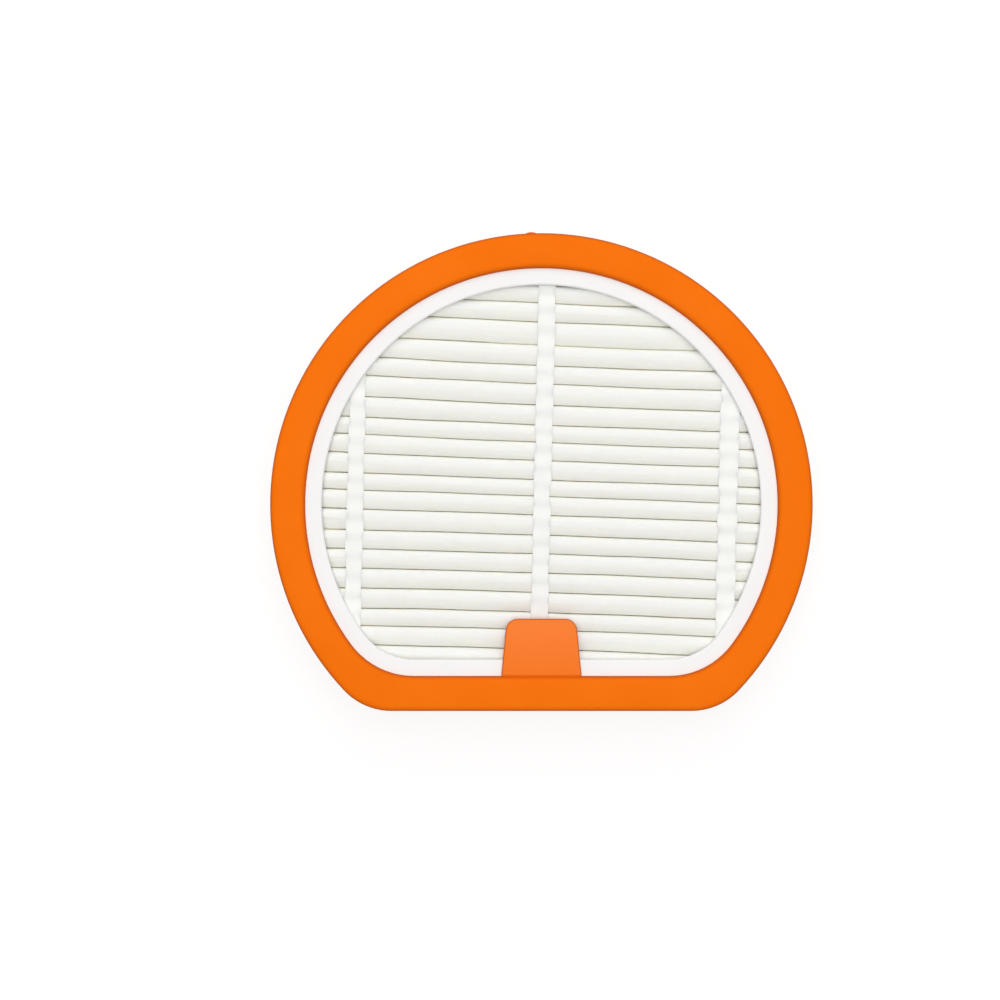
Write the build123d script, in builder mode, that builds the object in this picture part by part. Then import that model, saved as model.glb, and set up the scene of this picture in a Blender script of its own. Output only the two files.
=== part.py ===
from build123d import *
import math
import os

os.makedirs("parts", exist_ok=True)

# Pleated filter for a vacuum cleaner, lying on its rear edge with its face up.
# X runs along the flat side, Y away from it, Z out of the face. Millimetres and degrees.

# Outline: a circle cut off by a flat, with rounded corners. The other outlines are insets of it.
outer_radius = 65.0        # seal's outer edge
flat_distance = 49.5       # from the circle's centre to the flat side
seal_corner = 15.6         # rounding between the circle and the flat, outside
frame_corner = 18.7        # the same rounding along the seal's inner edge

# Rubber seal
seal_width = 8.4           # rim seen from the front
seal_front = 1.8           # rubber in front of the frame's plate
seal_rear = 3.2            # rubber behind the plate
groove_wall = 3.3          # rubber between the plate's edge and the outer edge
seal_outer_slope = 2.2     # bevel along the outer edge, across the front
seal_outer_drop = 1.2      # and down the side
seal_inner_slope = 1.4     # bevel along the inner edge, across the front
seal_inner_drop = 1.0      # and down the side
seal_rear_bevel = 0.8

# Pull tab on the seal
tab_root_width = 19.2
tab_tip_width = 16.6
tab_length = 13.7
tab_thickness = 1.4
tab_lift = 0.2             # gap between the tab's root and the plate
tab_droop = 2.0            # slope down towards the tip
tab_corner = 2.4
tab_edge_bevel = 0.4
tab_bury = 2.0             # length of the root inside the rim

# Moulding nub on the seal's outer edge
nub_radius = 2.9
nub_height = 0.5
nub_offset = -2.4

# Plastic frame
frame_depth = 22.0         # rear edge to the front of the plate
plate_thickness = 1.6
lip_width = 3.9            # plate seen inside the seal
wall_thickness = 1.4
wall_draft = 0.6
lip_bevel = 0.4

# Pleated pack
pleat_count = 20
media_thickness = 1.0
crease_bevel = 0.75        # each fold is creased twice, so its top is flat between two slopes
pack_skew = -1.4           # the pack sits slightly turned in the frame
pack_end_gap = 0.1         # end flanks to the pack's outline
pack_recess = 1.2          # rear beads to the frame's rear edge
glue_thinnest = 0.15
glue_set_back = 1.0        # glue's rear face to the rear folds

# Hot-melt strands between the folds
bead_width = 3.8
bead_share = 0.82          # side strands' distance from the middle one, as a share of the pack's radius
bead_rise = 0.3            # strand standing proud of the folds

# Levels
plate_front = frame_depth
plate_rear = plate_front - plate_thickness
seal_top = plate_front + seal_front
seal_bottom = plate_rear - seal_rear
pack_front = plate_rear - bead_rise
pack_rear = pack_recess + bead_rise

# Insets from the seal's outer edge
wall_inner = seal_width + wall_thickness
lip_inner = seal_width + lip_width
flat_half = math.sqrt(
    (outer_radius - seal_width - frame_corner) ** 2 - (flat_distance - seal_width - frame_corner) ** 2
)
edge_gap = glue_thinnest + flat_half * math.sin(math.radians(abs(pack_skew)))
pack_inset = wall_inner + edge_gap

# The origin is the middle of the whole part's outline, nub and all
nub_reach = outer_radius + nub_height - nub_radius
nub_centre = math.sqrt(nub_reach ** 2 - nub_offset ** 2)
centre_y = (flat_distance - nub_centre - nub_radius) / 2

# Pleats: straight flanks half a pitch apart, joined by flat-topped folds
pack_radius = outer_radius - pack_inset
pack_flat = flat_distance - pack_inset
bead_spacing = bead_share * pack_radius
pitch = (pack_radius + pack_flat - 2 * pack_end_gap - media_thickness) / pleat_count
fold_top = pack_front - media_thickness / 2
fold_bottom = pack_rear + media_thickness / 2
first_flank = pack_radius - pack_end_gap - media_thickness / 2


def body_plane(level):
    return Plane(origin=(0, centre_y, level))


def pack_plane(level):
    return body_plane(level).rotated((0, 0, pack_skew))


def frame_family_corner(inset):
    return frame_corner + seal_width - inset


def d_outline(plane, inset, corner):
    radius = outer_radius - inset
    flat = flat_distance - inset
    half = math.sqrt(radius ** 2 - flat ** 2)
    with BuildSketch(plane) as outline:
        with BuildLine():
            ThreePointArc((-half, -flat), (0, radius), (half, -flat))
            Line((half, -flat), (-half, -flat))
        make_face()
        fillet(outline.vertices(), radius=corner)
    return outline.sketch


def frame_outline(level, inset):
    return d_outline(body_plane(level), inset, frame_family_corner(inset))


def pack_outline(level):
    return d_outline(pack_plane(level), pack_inset, frame_family_corner(pack_inset))


# Pull tab, a tapering tongue that leaves the rim and droops towards the folds
tab_base_y = centre_y - flat_distance + seal_width
tab_plane = Plane(origin=(0, tab_base_y, plate_front + tab_lift)).rotated((-tab_droop, 0, 0))

with BuildPart() as tab:
    with BuildSketch(tab_plane) as tab_face:
        with BuildLine():
            Polyline(
                (-tab_root_width / 2, -tab_bury),
                (-tab_root_width / 2, 0),
                (-tab_tip_width / 2, tab_length),
                (tab_tip_width / 2, tab_length),
                (tab_root_width / 2, 0),
                (tab_root_width / 2, -tab_bury),
                close=True,
            )
        make_face()
        fillet(tab_face.vertices().group_by(Axis.Y)[-1], radius=tab_corner)
    extrude(amount=tab_thickness)
    chamfer(tab.faces().sort_by(Axis.Z)[-1].edges(), length=tab_edge_bevel)

# Seal: a rim with a groove for the frame's plate, the tab and the nub
with BuildPart() as seal:
    extrude(d_outline(body_plane(seal_bottom), 0, seal_corner), amount=seal_top - seal_bottom)
    extrude(
        frame_outline(seal_bottom, seal_width),
        amount=seal_top - seal_bottom,
        mode=Mode.SUBTRACT,
    )
    front_face = seal.faces().sort_by(Axis.Z)[-1]
    chamfer(
        front_face.outer_wire().edges(),
        length=seal_outer_slope,
        length2=seal_outer_drop,
        reference=front_face,
    )
    front_face = seal.faces().sort_by(Axis.Z)[-1]
    chamfer(
        front_face.inner_wires()[0].edges(),
        length=seal_inner_slope,
        length2=seal_inner_drop,
        reference=front_face,
    )
    rear_face = seal.faces().sort_by(Axis.Z)[0]
    chamfer(rear_face.outer_wire().edges(), length=seal_rear_bevel)
    add(tab.part)
    with Locations((nub_offset, centre_y + nub_centre, (seal_bottom + seal_top) / 2)):
        Sphere(nub_radius)
    extrude(
        frame_outline(plate_rear, groove_wall),
        amount=plate_thickness,
        mode=Mode.SUBTRACT,
    )
seal.part.label = "seal"
export_step(seal.part, "parts/seal.step")

# Frame: plate with the lip, and a drafted wall down to the rear edge
with BuildPart() as frame:
    extrude(frame_outline(plate_rear, seal_width), amount=-plate_rear, taper=wall_draft)
    extrude(frame_outline(0, wall_inner), amount=plate_rear, mode=Mode.SUBTRACT)
    extrude(frame_outline(plate_rear, groove_wall), amount=plate_thickness)
    extrude(
        frame_outline(plate_rear, lip_inner),
        amount=plate_thickness,
        mode=Mode.SUBTRACT,
    )
    plate_face = frame.faces().sort_by(Axis.Z)[-1]
    chamfer(plate_face.inner_wires()[0].edges(), length=lip_bevel)
frame.part.label = "frame"
export_step(frame.part, "parts/frame.step")

# Pleated media: one sheet, drawn as its fold line, thickened, run across the pack and cut to the outline
fold_plane = Plane(
    origin=(0, centre_y, 0),
    x_dir=pack_plane(0).y_dir,
    z_dir=pack_plane(0).x_dir,
)

with BuildPart() as media:
    with BuildSketch(fold_plane) as sheet_section:
        with BuildLine() as fold_line:
            creases = [(first_flank, fold_top)]
            for pleat in range(pleat_count):
                y = first_flank - pleat * pitch
                middle = y - pitch / 2
                last = y - pitch
                creases += [
                    (y, fold_bottom + crease_bevel),
                    (y - crease_bevel, fold_bottom),
                    (middle + crease_bevel, fold_bottom),
                    (middle, fold_bottom + crease_bevel),
                    (middle, fold_top - crease_bevel),
                    (middle - crease_bevel, fold_top),
                    (last + crease_bevel, fold_top),
                    (last, fold_top - crease_bevel),
                ]
            creases.append((first_flank - pleat_count * pitch, fold_bottom))
            Polyline(*creases)
        trace(line_width=media_thickness)
    extrude(amount=outer_radius, both=True)
    extrude(pack_outline(0), amount=frame_depth, mode=Mode.INTERSECT)
media.part.label = "pleated_media"
export_step(media.part, "parts/pleated_media.step")

# Edge glue: fills the gap between the frame's wall and the pack
with BuildPart() as edge_glue:
    extrude(
        frame_outline(pack_rear + glue_set_back, wall_inner),
        amount=plate_rear - pack_rear - glue_set_back,
    )
    extrude(pack_outline(0), amount=frame_depth, mode=Mode.SUBTRACT)
edge_glue.part.label = "edge_glue"
export_step(edge_glue.part, "parts/edge_glue.step")

# Hot-melt strands: each fills the folds across its width, and the sheet parts it into a front and a rear one
for side, place in (("left", -bead_spacing), ("middle", 0), ("right", bead_spacing)):
    with BuildPart() as strand:
        with BuildSketch(pack_plane(pack_rear - bead_rise)):
            with Locations((place, first_flank - pleat_count * pitch / 2)):
                Rectangle(bead_width, pleat_count * pitch)
        extrude(amount=pack_front - pack_rear + 2 * bead_rise)
        extrude(pack_outline(0), amount=frame_depth, mode=Mode.INTERSECT)
        add(media.part, mode=Mode.SUBTRACT)
    strand_pieces = strand.part.solids().sort_by(Axis.Z)
    front_bead = strand_pieces[-1]
    rear_bead = strand_pieces[0]
    front_bead.label = "front_bead_" + side
    rear_bead.label = "rear_bead_" + side
    export_step(front_bead, "parts/front_bead_" + side + ".step")
    export_step(rear_bead, "parts/rear_bead_" + side + ".step")
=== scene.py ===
import math

import bmesh
import bpy
from mathutils import Matrix, Vector, noise


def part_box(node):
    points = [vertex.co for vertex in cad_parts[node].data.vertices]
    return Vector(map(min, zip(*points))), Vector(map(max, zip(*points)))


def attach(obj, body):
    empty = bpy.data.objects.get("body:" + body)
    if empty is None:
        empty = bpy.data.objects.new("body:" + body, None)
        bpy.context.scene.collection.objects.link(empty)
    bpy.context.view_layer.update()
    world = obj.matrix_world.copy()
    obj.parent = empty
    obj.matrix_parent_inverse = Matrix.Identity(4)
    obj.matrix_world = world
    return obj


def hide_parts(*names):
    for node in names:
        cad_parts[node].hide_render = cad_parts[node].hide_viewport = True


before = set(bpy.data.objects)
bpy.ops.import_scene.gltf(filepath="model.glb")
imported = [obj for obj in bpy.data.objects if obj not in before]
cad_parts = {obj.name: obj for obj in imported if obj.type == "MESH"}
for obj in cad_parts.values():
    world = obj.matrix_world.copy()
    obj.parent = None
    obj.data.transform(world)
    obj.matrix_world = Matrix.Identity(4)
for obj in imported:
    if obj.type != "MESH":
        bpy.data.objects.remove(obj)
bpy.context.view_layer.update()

print("frame loaded, nodes:", len(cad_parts))

# Pleated vacuum filter lying on its rear edge, face up
# Pieces are drawn in millimetres from the centre of the outline's circle, then set into the frame
outline = {
    "radius": 65.0,        # rubber's outer edge
    "flat": 49.5,          # from the centre to the flat side
    "sealCorner": 15.6,    # rounding between circle and flat, outside
    "frameCorner": 27.1,   # the frame's outlines are insets of this rounding
    "flatSteps": 24,
    "cornerSteps": 10,
    "arcSteps": 120,
    "packTurn": -1.4,      # the pleated pack sits slightly turned, degrees
}
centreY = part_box("seal")[0][1] + outline["flat"] / 1000
toCentre = Matrix.Translation((0, centreY, 0))
toMetres = Matrix.Scale(0.001, 4)
bodyPlace = toCentre @ toMetres
packPlace = toCentre @ Matrix.Rotation(math.radians(outline["packTurn"]), 4, "Z") @ toMetres


def runAlong(bm, vert, move, steps):
    for k in range(steps):
        vert = bmesh.ops.extrude_vert_indiv(bm, verts=[vert])["verts"][0]
        bmesh.ops.translate(bm, verts=[vert], vec=Vector(move) / steps)
    return vert


def turnAbout(bm, vert, centre, axis, degrees, steps):
    angle = math.radians(degrees)
    spun = bmesh.ops.spin(bm, geom=[vert], cent=centre, axis=axis, angle=angle, steps=steps)
    return onlyVerts(spun["geom_last"])[0]


def ease(share):
    share = min(1, max(0, share))
    return share * share * (3 - 2 * share)


def frameCorner(inset):
    return outline["frameCorner"] - inset


# one closed D: along the flat, round a corner, round the circle, round the other corner
def dLoop(bm, inset, level, corner, turn=0.0):
    known = set(bm.verts)
    radius = outline["radius"] - inset
    flat = outline["flat"] - inset
    half = math.sqrt((radius - corner) ** 2 - (flat - corner) ** 2)
    bend = math.degrees(math.atan2(half, flat - corner))
    up = (0, 0, 1)
    vert = bm.verts.new((-half, -flat, level))
    vert = runAlong(bm, vert, (2 * half, 0, 0), outline["flatSteps"])
    vert = turnAbout(bm, vert, (half, corner - flat, level), up, bend, outline["cornerSteps"])
    vert = turnAbout(bm, vert, (0, 0, level), up, 360 - 2 * bend, outline["arcSteps"])
    turnAbout(bm, vert, (-half, corner - flat, level), up, bend, outline["cornerSteps"])
    bmesh.ops.remove_doubles(bm, verts=[v for v in bm.verts if v not in known], dist=0.001)
    ring = [v for v in bm.verts if v not in known]
    turned = Matrix.Rotation(math.radians(turn), 3, "Z")
    bmesh.ops.rotate(bm, verts=ring, cent=(0, 0, 0), matrix=turned)
    return list({e for v in ring for e in v.link_edges})


def loftRings(bm, rings):
    loops = [dLoop(bm, *ring) for ring in rings]
    for one, two in zip(loops, loops[1:] + loops[:1]):
        bmesh.ops.bridge_loops(bm, edges=one + two)
    return loops


def roundOff(bm, geom, width, steps, affect="EDGES"):
    bmesh.ops.bevel(
        bm, geom=geom, offset=width, offset_type="OFFSET", affect=affect,
        segments=steps, profile=0.5, material=-1,
    )


def wholeMesh(bm):
    return bm.verts[:] + bm.edges[:] + bm.faces[:]


def onlyVerts(geom):
    return [g for g in geom if isinstance(g, bmesh.types.BMVert)]


def intoObject(name, bm, place):
    bmesh.ops.transform(bm, matrix=place, verts=bm.verts)
    bmesh.ops.recalc_face_normals(bm, faces=bm.faces)
    mesh = bpy.data.meshes.new(name)
    bm.to_mesh(mesh)
    bm.free()
    piece = bpy.data.objects.new(name, mesh)
    bpy.context.scene.collection.objects.link(piece)
    return piece


def finishPiece(piece, material, nodes, sharp=40):
    piece.data.shade_smooth()
    piece.data.set_sharp_from_angle(angle=math.radians(sharp))
    piece.data.materials.append(material)
    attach(piece, "root")
    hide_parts(*nodes)
    print(piece.name, "faces", len(piece.data.polygons))


def combine(base, extra, operation):
    change = base.modifiers.new("combine", "BOOLEAN")
    change.operation = operation
    change.solver = "EXACT"
    change.object = extra
    change.use_self = operation == "DIFFERENCE"   # neighbouring folds nearly touch
    graph = bpy.context.evaluated_depsgraph_get()
    result = bpy.data.meshes.new_from_object(base.evaluated_get(graph))
    base.modifiers.remove(change)
    base.data = result
    bpy.data.objects.remove(extra)


# Materials: a noise is given by scale and detail, a bump by distance and strength
def startMaterial(name):
    material = bpy.data.materials.new(name)
    material.use_nodes = True
    nodes = material.node_tree.nodes
    links = material.node_tree.links
    coords = nodes.new("ShaderNodeTexCoord")
    return material, nodes, links, nodes["Principled BSDF"], coords.outputs["Object"]


def addNoise(nodes, links, coords, scale, detail, stretch=(1, 1, 1), distortion=0.0):
    mapping = nodes.new("ShaderNodeMapping")
    mapping.inputs["Scale"].default_value = stretch
    grain = nodes.new("ShaderNodeTexNoise")
    grain.inputs["Scale"].default_value = scale
    grain.inputs["Detail"].default_value = detail
    grain.inputs["Roughness"].default_value = 0.6
    grain.inputs["Distortion"].default_value = distortion
    links.new(coords, mapping.inputs["Vector"])
    links.new(mapping.outputs["Vector"], grain.inputs["Vector"])
    return grain.outputs["Fac"]


def addSpan(nodes, links, value, low, high, fromLow=0.3, fromHigh=0.7):
    span = nodes.new("ShaderNodeMapRange")
    span.inputs["From Min"].default_value = fromLow
    span.inputs["From Max"].default_value = fromHigh
    span.inputs["To Min"].default_value = low
    span.inputs["To Max"].default_value = high
    links.new(value, span.inputs["Value"])
    return span.outputs["Result"]


def addMix(nodes, links, factor, one, two):
    mix = nodes.new("ShaderNodeMix")
    mix.data_type = "RGBA"
    links.new(factor, mix.inputs["Factor"])
    for socket, colour in ((mix.inputs["A"], one), (mix.inputs["B"], two)):
        if isinstance(colour, bpy.types.NodeSocket):
            links.new(colour, socket)
        else:
            socket.default_value = (*colour, 1)
    return mix.outputs["Result"]


def addAttribute(nodes, name):
    attribute = nodes.new("ShaderNodeAttribute")
    attribute.attribute_name = name
    return attribute.outputs["Fac"]


def addBump(nodes, links, shader, height, distance, strength):
    bump = nodes.new("ShaderNodeBump")
    bump.inputs["Distance"].default_value = distance
    bump.inputs["Strength"].default_value = strength
    links.new(height, bump.inputs["Height"])
    links.new(bump.outputs["Normal"], shader.inputs["Normal"])


rubberFinish = {
    "colour": (0.925, 0.172, 0.001),
    "worn": (0.90, 0.162, 0.001),
    # the tab's paler colour is a painted sheen of the light from above
    "tab": (0.94, 0.214, 0.035),
    # painted shade for front edges and creases that turn away from the light
    "edge": (0.60, 0.105, 0.006),
    "roughness": (0.52, 0.64),
    "specular": 0.05,
    "cloud": (70, 3),
    "skin": (1900, 3),
    "bump": (0.00004, 0.35),
}


def makeRubber():
    material, nodes, links, shader, coords = startMaterial("orangeRubber")
    cloud = addNoise(nodes, links, coords, *rubberFinish["cloud"])
    skin = addNoise(nodes, links, coords, *rubberFinish["skin"])
    patchy = addSpan(nodes, links, cloud, 0, 1)
    face = addMix(nodes, links, patchy, rubberFinish["colour"], rubberFinish["worn"])
    # painted sheen on the tab, then painted shade on front edges and the tab's root crease
    tabSheen = addAttribute(nodes, "tabSheen")
    paintedSheen = addMix(nodes, links, tabSheen, face, rubberFinish["tab"])
    edgeShade = addAttribute(nodes, "edgeShade")
    edgeShaded = addMix(nodes, links, edgeShade, paintedSheen, rubberFinish["edge"])
    links.new(edgeShaded, shader.inputs["Base Color"])
    rough = addSpan(nodes, links, cloud, *rubberFinish["roughness"])
    links.new(rough, shader.inputs["Roughness"])
    shader.inputs["Specular IOR Level"].default_value = rubberFinish["specular"]
    addBump(nodes, links, shader, skin, *rubberFinish["bump"])
    return material


plasticFinish = {
    "colour": (0.91, 0.91, 0.905),
    "shade": (0.89, 0.89, 0.884),
    "roughness": (0.5, 0.6),
    "specular": 0.15,
    "cloud": (55, 3),
    "grain": (2600, 2),
    "bump": (0.00002, 0.25),
}


def makePlastic():
    material, nodes, links, shader, coords = startMaterial("whiteFramePlastic")
    cloud = addNoise(nodes, links, coords, *plasticFinish["cloud"])
    grain = addNoise(nodes, links, coords, *plasticFinish["grain"])
    patchy = addSpan(nodes, links, cloud, 0, 1)
    face = addMix(nodes, links, patchy, plasticFinish["colour"], plasticFinish["shade"])
    links.new(face, shader.inputs["Base Color"])
    rough = addSpan(nodes, links, grain, *plasticFinish["roughness"])
    links.new(rough, shader.inputs["Roughness"])
    shader.inputs["Specular IOR Level"].default_value = plasticFinish["specular"]
    addBump(nodes, links, shader, grain, *plasticFinish["bump"])
    return material


mediaFinish = {
    "crest": (0.93, 0.927, 0.89),
    "fibre": (0.905, 0.90, 0.855),
    # painted shade: a darker, yellower colour down in the folds' creases
    "deep": (0.85, 0.825, 0.63),
    "roughness": 0.92,
    "specular": 0.12,
    "subsurface": 0.7,       # light passes a little way through the fleece, so its creases stay soft
    "subsurfaceRadius": (1, 0.95, 0.8),
    "subsurfaceScale": 0.0011,
    "web": (520, 6),
    "strands": (900, 3),
    "strandStretch": (0.35, 1.6, 1.2),
    "fibreSpan": (0.12, 0.36),
    "bump": (0.00012, 0.4),
}


def makeMedia():
    material, nodes, links, shader, coords = startMaterial("foldedFilterSheet")
    stretch = mediaFinish["strandStretch"]
    web = addNoise(nodes, links, coords, *mediaFinish["web"], distortion=1.4)
    threads = addNoise(nodes, links, coords, *mediaFinish["strands"], stretch=stretch, distortion=0.8)
    fibres = nodes.new("ShaderNodeMath")
    fibres.operation = "MULTIPLY"
    links.new(web, fibres.inputs[0])
    links.new(threads, fibres.inputs[1])
    fleece = addSpan(nodes, links, fibres.outputs["Value"], 1, 0, *mediaFinish["fibreSpan"])
    face = addMix(nodes, links, fleece, mediaFinish["crest"], mediaFinish["fibre"])
    # painted shade in the creases, read from the depth attribute
    depth = addAttribute(nodes, "depth")
    links.new(addMix(nodes, links, depth, face, mediaFinish["deep"]), shader.inputs["Base Color"])
    shader.inputs["Roughness"].default_value = mediaFinish["roughness"]
    shader.inputs["Specular IOR Level"].default_value = mediaFinish["specular"]
    shader.inputs["Subsurface Weight"].default_value = mediaFinish["subsurface"]
    shader.inputs["Subsurface Radius"].default_value = mediaFinish["subsurfaceRadius"]
    shader.inputs["Subsurface Scale"].default_value = mediaFinish["subsurfaceScale"]
    addBump(nodes, links, shader, fibres.outputs["Value"], *mediaFinish["bump"])
    return material


meltFinish = {
    "colour": (0.945, 0.942, 0.90),
    "cloudy": (0.92, 0.917, 0.872),
    "roughness": (0.45, 0.6),
    "specular": 0.15,
    "subsurface": 0.25,
    "subsurfaceRadius": (0.6, 0.55, 0.45),
    "subsurfaceScale": 0.001,
    "cloud": (260, 3),
    "bump": (0.0001, 0.25),
}


def makeMelt():
    material, nodes, links, shader, coords = startMaterial("hotMelt")
    cloud = addNoise(nodes, links, coords, *meltFinish["cloud"])
    patchy = addSpan(nodes, links, cloud, 0, 1)
    face = addMix(nodes, links, patchy, meltFinish["colour"], meltFinish["cloudy"])
    links.new(face, shader.inputs["Base Color"])
    rough = addSpan(nodes, links, cloud, *meltFinish["roughness"])
    links.new(rough, shader.inputs["Roughness"])
    shader.inputs["Specular IOR Level"].default_value = meltFinish["specular"]
    shader.inputs["Subsurface Weight"].default_value = meltFinish["subsurface"]
    shader.inputs["Subsurface Radius"].default_value = meltFinish["subsurfaceRadius"]
    shader.inputs["Subsurface Scale"].default_value = meltFinish["subsurfaceScale"]
    addBump(nodes, links, shader, cloud, *meltFinish["bump"])
    return material


rubber = makeRubber()
plastic = makePlastic()
mediaSheet = makeMedia()
melt = makeMelt()
print("materials ready")

# Rubber seal: rim with a groove for the frame's plate, pull tab and moulding nub in one
seal = {
    "width": 8.4,
    "rear": 17.2,
    "front": 23.8,
    "outerShoulder": 23.6,   # levels of the crown's two edges
    "innerShoulder": 23.5,
    "crown": ((2.2, 0.03), (4.2, 0.0), (6.2, 0.05)),   # lines between them, inset and drop
    "grooveWall": 3.3,
    "grooveRear": 20.4,
    "grooveFront": 22.0,
    "outerRound": 1.3,
    "innerRound": 1.35,
    "rearRound": 0.8,
}
tab = {
    "rootHalf": 9.6,
    "tipHalf": 8.3,
    "length": 13.7,
    "bury": 2.0,
    "thickness": 1.05,
    "lift": 0.2,
    "droop": 2.0,
    "corner": 2.6,
    "edge": 0.45,
    "crease": (-1.0, -0.25, 0.5),   # where it bends at its root
    "creaseLeft": 0.4,
}
nub = {"radius": 2.9, "height": 0.5, "across": -2.4, "cut": 1.6}

# painted light on the rubber, in metres: the tab's painted sheen, and painted shade on front edges; an
# edge's painted shade starts where it faces up less than the first number
paintedRubberLight = {
    "tabHalf": 0.0098,
    "tabLength": 0.02,
    "tabFade": 0.001,
    "tabEdge": (0.99, 0.3, 0.0208),    # start, span, level above which it counts
    "rimEdge": (0.96, 0.6, 0.0219),
    "levelFade": 0.0004,
    "fold": 0.55,                      # painted shade along the tab's root crease
    "foldHalf": 0.0094,
    "foldBack": 0.0002,
    "foldReach": 0.0006,
    "foldLevel": 0.0222,
}


def sealCorner(inset):
    share = inset / seal["width"]
    return outline["sealCorner"] + share * (frameCorner(seal["width"]) - outline["sealCorner"])


def makeTab():
    bm = bmesh.new()
    corners = [
        (-tab["rootHalf"], -tab["bury"], 0), (tab["rootHalf"], -tab["bury"], 0),
        (tab["rootHalf"], 0, 0), (tab["tipHalf"], tab["length"], 0),
        (-tab["tipHalf"], tab["length"], 0), (-tab["rootHalf"], 0, 0),
    ]
    bm.faces.new([bm.verts.new(c) for c in corners])
    roundOff(bm, [v for v in bm.verts if v.co.y > tab["length"] - 1], tab["corner"], 8, "VERTICES")
    top = bmesh.ops.extrude_face_region(bm, geom=bm.faces[:], use_keep_orig=True)["geom"]
    bmesh.ops.translate(bm, verts=onlyVerts(top), vec=(0, 0, tab["thickness"]))
    brims = [e for e in bm.edges if abs(e.verts[0].co.z - e.verts[1].co.z) < 0.01]
    roundOff(bm, brims, tab["edge"], 4)
    for y in tab["crease"]:
        bmesh.ops.bisect_plane(bm, geom=wholeMesh(bm), plane_co=(0, y, 0), plane_no=(0, 1, 0))
    halfThick = tab["thickness"] / 2
    fold = [v for v in bm.verts if abs(v.co.y - tab["crease"][1]) < 0.01 and v.co.z > halfThick]
    fromMiddle = Matrix.Translation((0, 0, -halfThick))
    bmesh.ops.scale(bm, verts=fold, vec=(1, 1, tab["creaseLeft"]), space=fromMiddle)
    place = Matrix.Translation((0, seal["width"] - outline["flat"], seal["grooveFront"] + tab["lift"]))
    tilt = Matrix.Rotation(math.radians(-tab["droop"]), 4, "X")
    bmesh.ops.transform(bm, matrix=place @ tilt, verts=bm.verts)
    return intoObject("pullTab", bm, bodyPlace)


def makeNub():
    bm = bmesh.new()
    bmesh.ops.create_uvsphere(bm, u_segments=48, v_segments=32, radius=nub["radius"])
    bmesh.ops.bisect_plane(
        bm, geom=wholeMesh(bm), plane_co=(0, nub["cut"], 0), plane_no=(0, 1, 0), clear_inner=True,
    )
    bmesh.ops.holes_fill(bm, edges=bm.edges[:])
    reach = math.sqrt((outline["radius"] + nub["height"] - nub["radius"]) ** 2 - nub["across"] ** 2)
    level = (seal["rear"] + seal["front"]) / 2
    bmesh.ops.translate(bm, verts=bm.verts, vec=(nub["across"], reach, level))
    return intoObject("mouldingNub", bm, bodyPlace)


# painted light on the rubber: the tab is paler with a painted sheen, and front edges that turn away from the
# light, and the crease at the tab's root, get painted shade
def paintRubberLight(mesh):
    paintedSheen = mesh.attributes.new("tabSheen", "FLOAT", "POINT")
    edgeShadeLayer = mesh.attributes.new("edgeShade", "FLOAT", "POINT")
    root = centreY + (seal["width"] - outline["flat"]) / 1000
    for v in mesh.vertices:
        x, y, z = v.co
        past = y - root
        onTab = abs(x) < paintedRubberLight["tabHalf"] and 0 < past < paintedRubberLight["tabLength"]
        start, span, level = paintedRubberLight["tabEdge"] if onTab else paintedRubberLight["rimEdge"]
        # painted shade where a front edge turns away from facing up, and in the crease along the tab's root
        shadeAmount = ease((start - v.normal.z) / span) * ease((z - level) / paintedRubberLight["levelFade"])
        if abs(x) < paintedRubberLight["foldHalf"] and z > paintedRubberLight["foldLevel"]:
            nearFold = 1 - abs(past + paintedRubberLight["foldBack"]) / paintedRubberLight["foldReach"]
            shadeAmount = max(shadeAmount, paintedRubberLight["fold"] * ease(nearFold))
        paintedSheen.data[v.index].value = min(1, past / paintedRubberLight["tabFade"]) if onTab else 0
        edgeShadeLayer.data[v.index].value = shadeAmount


def makeSeal():
    bm = bmesh.new()
    wide, wall = seal["width"], seal["grooveWall"]
    rings = [
        (0, seal["rear"], sealCorner(0)),
        (0, seal["outerShoulder"], sealCorner(0)),
        *[(inset, seal["front"] - drop, sealCorner(inset)) for inset, drop in seal["crown"]],
        (wide, seal["innerShoulder"], sealCorner(wide)),
        (wide, seal["grooveFront"], frameCorner(wide)),
        (wall, seal["grooveFront"], frameCorner(wall)),
        (wall, seal["grooveRear"], frameCorner(wall)),
        (wide, seal["grooveRear"], frameCorner(wide)),
        (wide, seal["rear"], frameCorner(wide)),
    ]
    loops = loftRings(bm, rings)
    roundOff(bm, loops[0], seal["rearRound"], 4)
    roundOff(bm, loops[1], seal["outerRound"], 7)
    roundOff(bm, loops[5], seal["innerRound"], 6)
    piece = intoObject("rubberSeal", bm, bodyPlace)
    combine(piece, makeTab(), "UNION")
    combine(piece, makeNub(), "UNION")
    paintRubberLight(piece.data)
    finishPiece(piece, rubber, ["seal"])


makeSeal()

# Plastic frame: flange in the rubber's groove, lip over the pleats' edge, wall down to the rear edge
shell = {
    "flange": 3.3,
    "lip": 12.3,
    "wallOut": 8.4,
    "wallOutRear": 8.614,
    "wallIn": 9.8,
    "plateRear": 20.4,
    "plateFront": 22.0,
    "lipFrontRound": 0.5,
    "lipRearRound": 0.25,
    "rearInRound": 0.3,
    "rearOutRound": 0.35,
}


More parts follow.
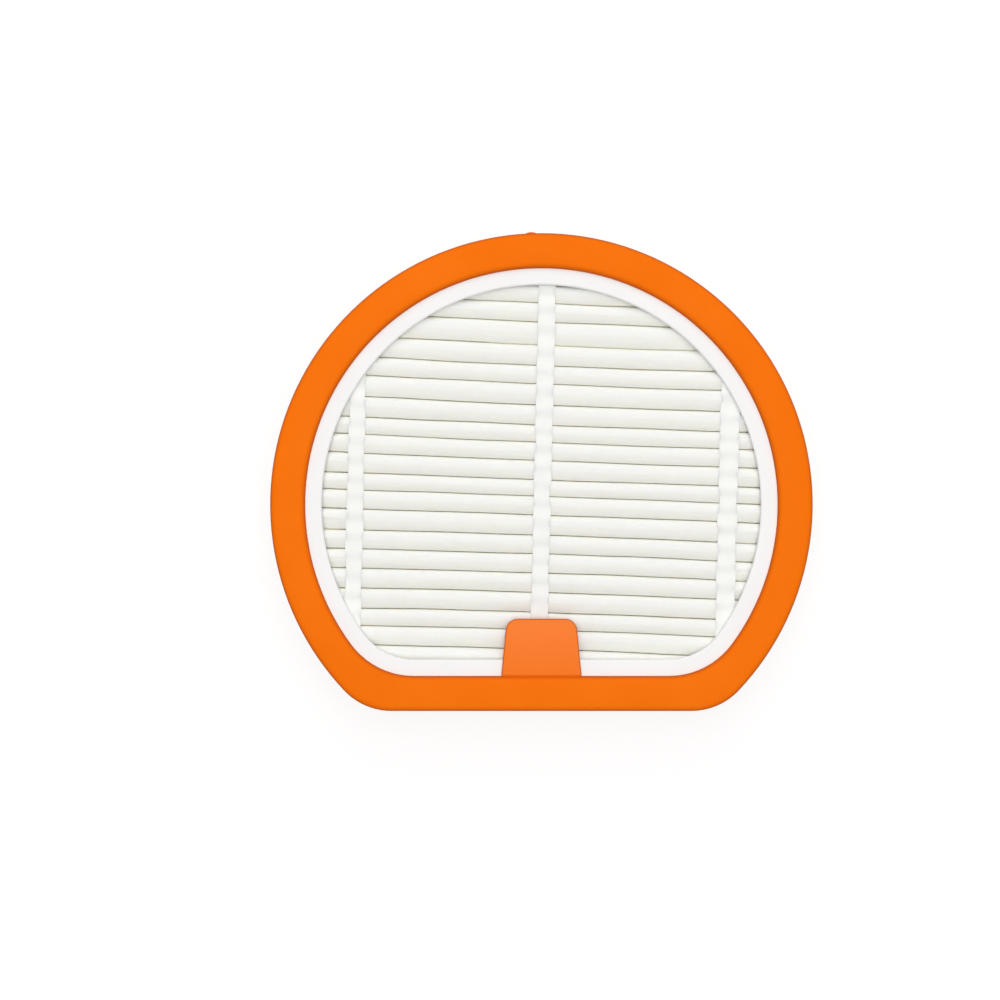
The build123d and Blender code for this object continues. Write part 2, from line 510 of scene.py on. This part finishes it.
def makeFrame():
    bm = bmesh.new()
    rings = [
        (shell["flange"], shell["plateRear"]),
        (shell["flange"], shell["plateFront"]),
        (shell["lip"], shell["plateFront"]),
        (shell["lip"], shell["plateRear"]),
        (shell["wallIn"], shell["plateRear"]),
        (shell["wallIn"], 0),
        (shell["wallOutRear"], 0),
        (shell["wallOut"], shell["plateRear"]),
    ]
    loops = loftRings(bm, [(inset, level, frameCorner(inset)) for inset, level in rings])
    roundOff(bm, loops[2], shell["lipFrontRound"], 5)
    roundOff(bm, loops[3], shell["lipRearRound"], 3)
    roundOff(bm, loops[5], shell["rearInRound"], 3)
    roundOff(bm, loops[6], shell["rearOutRound"], 3)
    piece = intoObject("plasticFrame", bm, bodyPlace)
    finishPiece(piece, plastic, ["frame"])


makeFrame()

# Edge glue: seals the pack's cut edge to the frame's wall, hollowed where it set at the rear
glue = {
    "packInset": 10.85,
    "rear": 2.2,
    "front": 20.38,
    "hollow": 0.55,
    # lines across the hollow: off its middle, share of the depth, share of the pack's turn
    "hollowLines": ((-0.2, 0.8, 0.3), (0.15, 1.0, 0.7)),
    "packRise": 0.15,
    "uneven": 0.3,
    "grain": 0.12,
}


def makeGlue():
    bm = bmesh.new()
    turn = outline["packTurn"]
    middle = (shell["wallIn"] + glue["packInset"]) / 2
    rings = [
        (shell["wallIn"], glue["front"], frameCorner(shell["wallIn"]), 0),
        (shell["wallIn"], glue["rear"], frameCorner(shell["wallIn"]), 0),
    ]
    for off, deep, share in glue["hollowLines"]:
        level = glue["rear"] + glue["hollow"] * deep
        rings.append((middle + off, level, frameCorner(middle + off), turn * share))
    for level in (glue["rear"] + glue["packRise"], glue["front"]):
        rings.append((glue["packInset"], level, frameCorner(glue["packInset"]), turn))
    loftRings(bm, rings)
    for v in bm.verts:
        if v.co.z < glue["front"] / 2:
            place = Vector((v.co.x * glue["grain"], v.co.y * glue["grain"], 4.5))
            v.co.z += glue["uneven"] * noise.noise(place)
    piece = intoObject("edgeGlue", bm, bodyPlace)
    finishPiece(piece, melt, ["edge_glue"])
    return piece


edgeGlue = makeGlue()

# Pleated media: one sheet, its fold line drawn once and run across the pack
# The folds bulge, so that on both faces they almost touch
pleats = {
    "count": 20,
    "pitch": 4.5953,
    "firstFlank": 53.703,
    "top": 19.6,             # fold line's highest and lowest levels
    "bottom": 2.0,
    "paper": 1.0,
    "foldRound": 1.67,
    "neckRound": 1.6,
    "foldSteps": 11,
    "neckSteps": 3,
    "flankSteps": 2,
    "columns": 46,
    "inset": 10.697,         # pack's outline
    # each row's shift on the front, from the round side
    "rowShift": (0.55, 0.77, 0.86, -0.13, -0.45, -0.29, -0.84, -1.12, -0.75, -0.58,
                 -0.69, -0.15, -0.15, -0.53, -0.47, -0.52, -0.65, -0.84, -0.5, -0.56),
    "fan": (0.45, 1.1),      # rows' extra turn by the flat and by the round side, degrees
    "bow": (0.3, -0.35),     # and their bow there
    "fanFrom": -15,
    "fanSpan": 45,
    "bowReach": 44,
    "lastGap": 0.2,
    "wander": 0.16,
    "ripple": 0.14,
    "rippleSink": 0.6,
    "gap": 0.012,            # between neighbours
    "flatten": 0.55,         # front folds are lower than they are wide
    "flatTop": 1.55,
    "lean": 0.25,            # their tops lie nearer the round side
    "slope": 0.52,           # and they slope on the flat's side, more so by the frame and beyond the strands
    "slopeEnds": 0.14,
    "slopeFrame": 0.12,
    "slopeBeyond": 0.35,
    "slopeVaries": 0.3,
    "frameBand": (7, 5),
    "beyondBand": (45, 3),
    "foldHold": 0.985,       # share of a fold's half width that keeps the drawn round
    "settleFrom": 0.25,      # shares of the height between which front and rear places blend
    "settleSpan": 0.5,
    # painted shade in the folds' creases: where it starts and how far it grows
    "creaseShadeFrom": 0.1,         # below the crest
    "creaseShadeSpan": 0.7,
    "creaseShadeLitSide": 0.15,       # share of the painted crease shade kept on the side that faces the light
    # unevenness: along x, from row to row, and a seed
    "frontGrain": (0.06, 3.7, 1.7),
    "slopeGrain": (0.05, 2.3, 6.4),
    "rearGrain": (0.04, 1.9, 8.3),
    "rippleGrain": (0.05, 1.3, 3.1),
}


def uneven(grain, x, row):
    along, across, seed = pleats[grain]
    return noise.noise(Vector((x * along, row * across, seed)))


def halfWidth(y):
    radius = outline["radius"] - pleats["inset"]
    flat = outline["flat"] - pleats["inset"]
    corner = frameCorner(pleats["inset"])
    half = math.sqrt((radius - corner) ** 2 - (flat - corner) ** 2)
    if y > -radius * (flat - corner) / (radius - corner):
        return math.sqrt(max(radius ** 2 - y ** 2, 0.01))
    return half + math.sqrt(max(corner ** 2 - (y - corner + flat) ** 2, 0.01))


# middle of the gap between two folds on the front
def gapLine(row, x):
    y = pleats["firstFlank"] - (row + 0.25) * pleats["pitch"]
    if row == pleats["count"]:
        return y + pleats["lastGap"]
    share = min(1, max(0, (y - pleats["fanFrom"]) / pleats["fanSpan"]))
    fan = pleats["fan"][0] + (pleats["fan"][1] - pleats["fan"][0]) * share
    bow = pleats["bow"][0] + (pleats["bow"][1] - pleats["bow"][0]) * share
    bow *= 1 - (x / pleats["bowReach"]) ** 2
    wander = pleats["wander"] * uneven("frontGrain", x, row)
    return y + pleats["rowShift"][row] - math.tan(math.radians(fan)) * x + bow + wander


# how much of a fold's width is lost at its top, on the side of the flat
def slopeShare(row, x, y):
    edge = halfWidth(y) - abs(x)
    reach, fade = pleats["frameBand"]
    byFrame = pleats["slopeFrame"] * ease((reach - edge) / fade)
    reach, fade = pleats["beyondBand"]
    beyond = pleats["slopeBeyond"] * ease((abs(x) - reach) / fade)
    share = pleats["slope"] + pleats["slopeEnds"] * ((row - 8) / 10) ** 2
    share += byFrame + beyond
    return share * (1 + pleats["slopeVaries"] * uneven("slopeGrain", x, row))


# where a point of the drawn fold line ends up, front and rear apart
def settle(x, y, z):
    fold, pitch = pleats["foldRound"], pleats["pitch"]
    height = (z - pleats["bottom"]) / (pleats["top"] - pleats["bottom"])
    share = ease((height - pleats["settleFrom"]) / pleats["settleSpan"])
    phase = (pleats["firstFlank"] - y) / pitch
    front = y
    if phase > 0.25:
        row = min(pleats["count"] - 1, int(phase - 0.25))
        one, two = gapLine(row, x), gapLine(row + 1, x)
        room = (one - two - pleats["gap"] - pleats["paper"]) / 2
        off, side = phase - row - 0.75, pleats["foldHold"] * fold / pitch
        if abs(off) < side:
            off *= room / side
            if off > 0:
                off *= 1 - slopeShare(row, x, y) * ease((z - pleats["top"] + fold) / fold)
            off -= pleats["lean"] * (room - off ** 2 / room)
        else:
            past = (abs(off) - side) / (0.5 - side)
            off = math.copysign(room + past * (pleats["gap"] + pleats["paper"]) / 2, off)
        front = (one + two) / 2 - off
    inside = min(1, max(0, phase)) * min(1, max(0, pleats["count"] - phase))
    rear = y + inside * pleats["wander"] * uneven("rearGrain", x, phase)
    lift = pleats["ripple"] * (uneven("rippleGrain", x, phase) - pleats["rippleSink"])
    deep = min(max(pleats["top"] - z, 0), fold)
    z += share * (deep - pleats["flatten"] * fold * (deep / fold) ** pleats["flatTop"])
    return front * share + rear * (1 - share), z + lift * (2 * share - 1)


# a fold swells out of its flanks through two necks; up is 1 on the front, -1 on the rear
def foldOver(bm, vert, up):
    across = (1, 0, 0)
    fold, neck, quarter = pleats["foldRound"], pleats["neckRound"], pleats["pitch"] / 4
    lean = math.acos(1 - (fold - quarter) / (fold + neck))
    rise = up * (fold + neck) * math.sin(lean)
    lean = up * math.degrees(lean)
    y, z = vert.co.y, vert.co.z
    vert = turnAbout(bm, vert, (0, y + neck, z), across, -lean, pleats["neckSteps"])
    sweep = up * 180 + 2 * lean
    vert = turnAbout(bm, vert, (0, y - quarter, z + rise), across, sweep, pleats["foldSteps"])
    return turnAbout(bm, vert, (0, y - 2 * quarter - neck, z), across, -lean, pleats["neckSteps"])


def foldLine(bm):
    fold, neck = pleats["foldRound"], pleats["neckRound"]
    lean = math.acos(1 - (fold - pleats["pitch"] / 4) / (fold + neck))
    swell = fold + (fold + neck) * math.sin(lean)
    flank = pleats["top"] - pleats["bottom"] - 2 * swell
    vert = bm.verts.new((0, pleats["firstFlank"], pleats["top"]))
    vert = runAlong(bm, vert, (0, 0, -swell), 2)
    for pleat in range(pleats["count"]):
        vert = runAlong(bm, vert, (0, 0, -flank), pleats["flankSteps"])
        vert = foldOver(bm, vert, -1)
        vert = runAlong(bm, vert, (0, 0, flank), pleats["flankSteps"])
        vert = foldOver(bm, vert, 1)
    runAlong(bm, vert, (0, 0, -flank - swell), pleats["flankSteps"] + 2)


# the fold line run across from one share of the pack's width to another, or between two places
def runSheet(bm, low, high, columns, shares):
    foldLine(bm)
    bmesh.ops.translate(bm, verts=bm.verts, vec=(low, 0, 0))
    step = ((high - low) / columns, 0, 0)
    bmesh.ops.spin(
        bm, geom=bm.verts[:] + bm.edges[:], cent=(0, 0, 0), axis=(1, 0, 0),
        angle=0, dvec=step, steps=columns,
    )
    # painted shade in the creases: grows with distance from the crest or the bottom, weaker on the side that
    # faces the light
    depth = bm.verts.layers.float.new("depth")
    for v in bm.verts:
        x, y, z = v.co
        below = min(pleats["top"] - z, z - pleats["bottom"])
        v[depth] = ease((below - pleats["creaseShadeFrom"]) / pleats["creaseShadeSpan"])
        phase = (pleats["firstFlank"] - y) / pleats["pitch"] % 1
        if phase < 0.75 and z > pleats["top"] - pleats["foldRound"]:
            v[depth] *= pleats["creaseShadeLitSide"]
        if shares:
            side = x
            x = side * halfWidth(y)
            y, z = settle(x, y, z)
            x = side * halfWidth(y)
        else:
            y, z = settle(x, y, z)
        v.co = (x, y, z)


def thickenSheet(piece):
    thicken = piece.modifiers.new("paper", "SOLIDIFY")
    thicken.thickness = pleats["paper"] / 1000
    thicken.offset = 0


def makeMediaSheet():
    bm = bmesh.new()
    runSheet(bm, -1, 1, pleats["columns"], True)
    piece = intoObject("pleatedMedia", bm, packPlace)
    thickenSheet(piece)
    finishPiece(piece, mediaSheet, ["pleated_media"], 60)
    area = sum(f.area for f in piece.data.polygons)
    print("media sheet's one side, square metres:", round(area, 5))
    return piece


pleatedMedia = makeMediaSheet()

# Hot-melt strands: each fills the folds across its width and runs over their tops as a thin film
# The sheet parts every strand into a front and a rear bead
strands = {
    "left": {"centre": -44.8, "width": 3.95, "from": 32.4, "to": -32.4},
    "middle": {"centre": 0.2, "width": 4.1, "from": 53.4, "to": -37.9},
    "right": {"centre": 44.9, "width": 4.5, "from": 32.4, "to": -32.4},
    "film": 0.11,            # over the folds' tops
    "dip": 0.05,             # between them
    "edgeDrop": 0.14,
    "wobble": 0.22,
    "wobbleGrain": 0.16,
    "widthVaries": 0.16,
    "widthGrain": 0.23,
    "depthGrain": 0.05,
    "clear": 0.12,           # from the pack's edge
    "acrossSteps": 10,
    "alongSteps": 160,
    "stripHalf": 3.5,        # sheet drawn for cutting the strand
    "stripColumns": 6,
    "frontAbove": 0.1,       # a front bead reaches over the fold line by this
    "weld": 0.000002,
}


def makeStrandBar(side, seed):
    shape = strands[side]
    bm = bmesh.new()
    bmesh.ops.create_grid(bm, x_segments=strands["acrossSteps"], y_segments=strands["alongSteps"], size=1)
    raised = bmesh.ops.extrude_face_region(bm, geom=bm.faces[:], use_keep_orig=True)["geom"]
    bmesh.ops.translate(bm, verts=onlyVerts(raised), vec=(0, 0, 1))
    for v in bm.verts:
        place, front = v.co.x, v.co.z > 0.5
        y = shape["to"] + (shape["from"] - shape["to"]) * (v.co.y + 1) / 2
        phase = (pleats["firstFlank"] - y) / pleats["pitch"] - (0.75 if front else 0.25)
        dip = strands["dip"] * (1 - math.cos(2 * math.pi * phase)) / 2
        rise = pleats["paper"] / 2 + strands["film"] - dip
        rise -= strands["edgeDrop"] * abs(place) ** 4
        z = pleats["top"] + rise if front else pleats["bottom"] - rise
        deep = z * strands["depthGrain"]
        swell = noise.noise(Vector((y * strands["widthGrain"], seed, deep)))
        stray = noise.noise(Vector((y * strands["wobbleGrain"], seed + 5.2, deep)))
        wide = shape["width"] / 2 * (1 + strands["widthVaries"] * swell)
        centre = shape["centre"] + strands["wobble"] * stray
        y, z = settle(shape["centre"], y, z)
        limit = halfWidth(y) - strands["clear"]
        low, high = max(-limit, centre - wide), min(limit, centre + wide)
        v.co = (low + (high - low) * (place + 1) / 2, y, z)
    return intoObject(side + "Strand", bm, packPlace)


def makeSheetStrip(side):
    centre, half = strands[side]["centre"], strands["stripHalf"]
    bm = bmesh.new()
    runSheet(bm, centre - half, centre + half, strands["stripColumns"], False)
    strip = intoObject("sheetStrip", bm, packPlace)
    thickenSheet(strip)
    return strip


def loosePieces(bm):
    left = set(bm.verts)
    while left:
        piece, edge = set(), {left.pop()}
        while edge:
            piece |= edge
            edge = {e.other_vert(v) for v in edge for e in v.link_edges} - piece
        left -= piece
        yield list(piece)


def makeBeads(side, seed):
    strand = makeStrandBar(side, seed)
    combine(strand, makeSheetStrip(side), "DIFFERENCE")
    pair = []
    for face in ("front", "rear"):
        bm = bmesh.new()
        bm.from_mesh(strand.data)
        for piece in list(loosePieces(bm)):
            isFront = max(v.co.z for v in piece) > (pleats["top"] + strands["frontAbove"]) / 1000
            if isFront != (face == "front"):
                bmesh.ops.delete(bm, geom=piece, context="VERTS")
        bmesh.ops.remove_doubles(bm, verts=bm.verts, dist=strands["weld"])
        bead = intoObject(face + "Bead" + side.capitalize(), bm, Matrix())
        finishPiece(bead, melt, [face + "_bead_" + side], 50)
        pair.append(bead)
    bpy.data.objects.remove(strand)
    return pair


beads = makeBeads("left", 2.3) + makeBeads("middle", 5.9) + makeBeads("right", 9.1)
print("strands set:", len(beads))

# Stage: pale floor, soft light from above and behind the round side, camera straight over the face
stage = {
    "floorColour": (0.86, 0.86, 0.86),
    "floorHalf": 3,
    "floorSeen": 0.24,       # share of the floor's look that takes light, the rest is plain white
    "floorSum": 1.03,
    "world": 0.42,
    "keyWatts": 1.8,
    "keyPlace": (0.0, 0.54, 0.66),
    "keySize": 0.7,
    "topWatts": 4.2,
    "topPlace": (0.0, 0.02, 0.95),
    "topSize": 0.7,
    "lampAim": (0, 0, 0.02),
    "cameraHeight": 0.55,    # above the face
    "frameWidth": 0.23863,   # seen at the face's level
    "facePlane": 0.0245,
    "lookX": -0.00992,
    "lookY": 0.00106,        # from the circle's centre
}


def rayShare(nodes, links):
    path = nodes.new("ShaderNodeLightPath")
    seen = path.outputs["Is Camera Ray"]
    for other in ("Is Glossy Ray", "Is Transmission Ray"):
        either = nodes.new("ShaderNodeMath")
        either.operation = "MAXIMUM"
        links.new(seen, either.inputs[0])
        links.new(path.outputs[other], either.inputs[1])
        seen = either.outputs["Value"]
    return seen


def makeFloor():
    bm = bmesh.new()
    bmesh.ops.create_grid(bm, x_segments=4, y_segments=4, size=stage["floorHalf"])
    mesh = bpy.data.meshes.new("studioFloor")
    bm.to_mesh(mesh)
    bm.free()
    floor = bpy.data.objects.new("studioFloor", mesh)
    bpy.context.scene.collection.objects.link(floor)
    material = bpy.data.materials.new("paleFloor")
    material.use_nodes = True
    nodes, links = material.node_tree.nodes, material.node_tree.links
    nodes.remove(nodes["Principled BSDF"])
    plain = nodes.new("ShaderNodeBsdfDiffuse")
    plain.inputs["Color"].default_value = (*stage["floorColour"], 1)
    soft = nodes.new("ShaderNodeBsdfDiffuse")
    soft.inputs["Color"].default_value = (stage["floorSeen"],) * 3 + (1,)
    white = nodes.new("ShaderNodeEmission")
    white.inputs["Strength"].default_value = stage["floorSum"] - stage["floorSeen"]
    both = nodes.new("ShaderNodeAddShader")
    pick = nodes.new("ShaderNodeMixShader")
    links.new(soft.outputs["BSDF"], both.inputs[0])
    links.new(white.outputs["Emission"], both.inputs[1])
    links.new(rayShare(nodes, links), pick.inputs["Fac"])
    links.new(plain.outputs["BSDF"], pick.inputs[1])
    links.new(both.outputs["Shader"], pick.inputs[2])
    links.new(pick.outputs["Shader"], nodes["Material Output"].inputs["Surface"])
    mesh.materials.append(material)


def makeWorld():
    world = bpy.data.worlds.new("studio")
    world.use_nodes = True
    nodes, links = world.node_tree.nodes, world.node_tree.links
    light = nodes["Background"]
    light.inputs["Color"].default_value = (1, 1, 1, 1)
    light.inputs["Strength"].default_value = stage["world"]
    back = nodes.new("ShaderNodeBackground")
    back.inputs["Color"].default_value = (1, 1, 1, 1)
    back.inputs["Strength"].default_value = 1
    pick = nodes.new("ShaderNodeMixShader")
    links.new(rayShare(nodes, links), pick.inputs["Fac"])
    links.new(light.outputs["Background"], pick.inputs[1])
    links.new(back.outputs["Background"], pick.inputs[2])
    links.new(pick.outputs["Shader"], nodes["World Output"].inputs["Surface"])
    bpy.context.scene.world = world


def addLamp(name, watts, place, size):
    lamp = bpy.data.lights.new(name, "AREA")
    lamp.energy = watts
    lamp.shape = "DISK"
    lamp.size = size
    holder = bpy.data.objects.new(name, lamp)
    holder.location = place
    toward = Vector(stage["lampAim"]) - Vector(place)
    holder.rotation_euler = toward.to_track_quat("-Z", "Y").to_euler()
    bpy.context.scene.collection.objects.link(holder)


makeFloor()
makeWorld()
addLamp("keyLamp", stage["keyWatts"], stage["keyPlace"], stage["keySize"])
addLamp("topLamp", stage["topWatts"], stage["topPlace"], stage["topSize"])
camera = bpy.data.cameras.new("frontCamera")
camera.sensor_width = 36
camera.lens = 36 * stage["cameraHeight"] / stage["frameWidth"]
camera.clip_end = 20
holder = bpy.data.objects.new("frontCamera", camera)
holder.location = (stage["lookX"], centreY + stage["lookY"], stage["facePlane"] + stage["cameraHeight"])
bpy.context.scene.collection.objects.link(holder)
bpy.context.scene.camera = holder
bpy.context.scene.view_settings.view_transform = "Standard"
print("stage set")
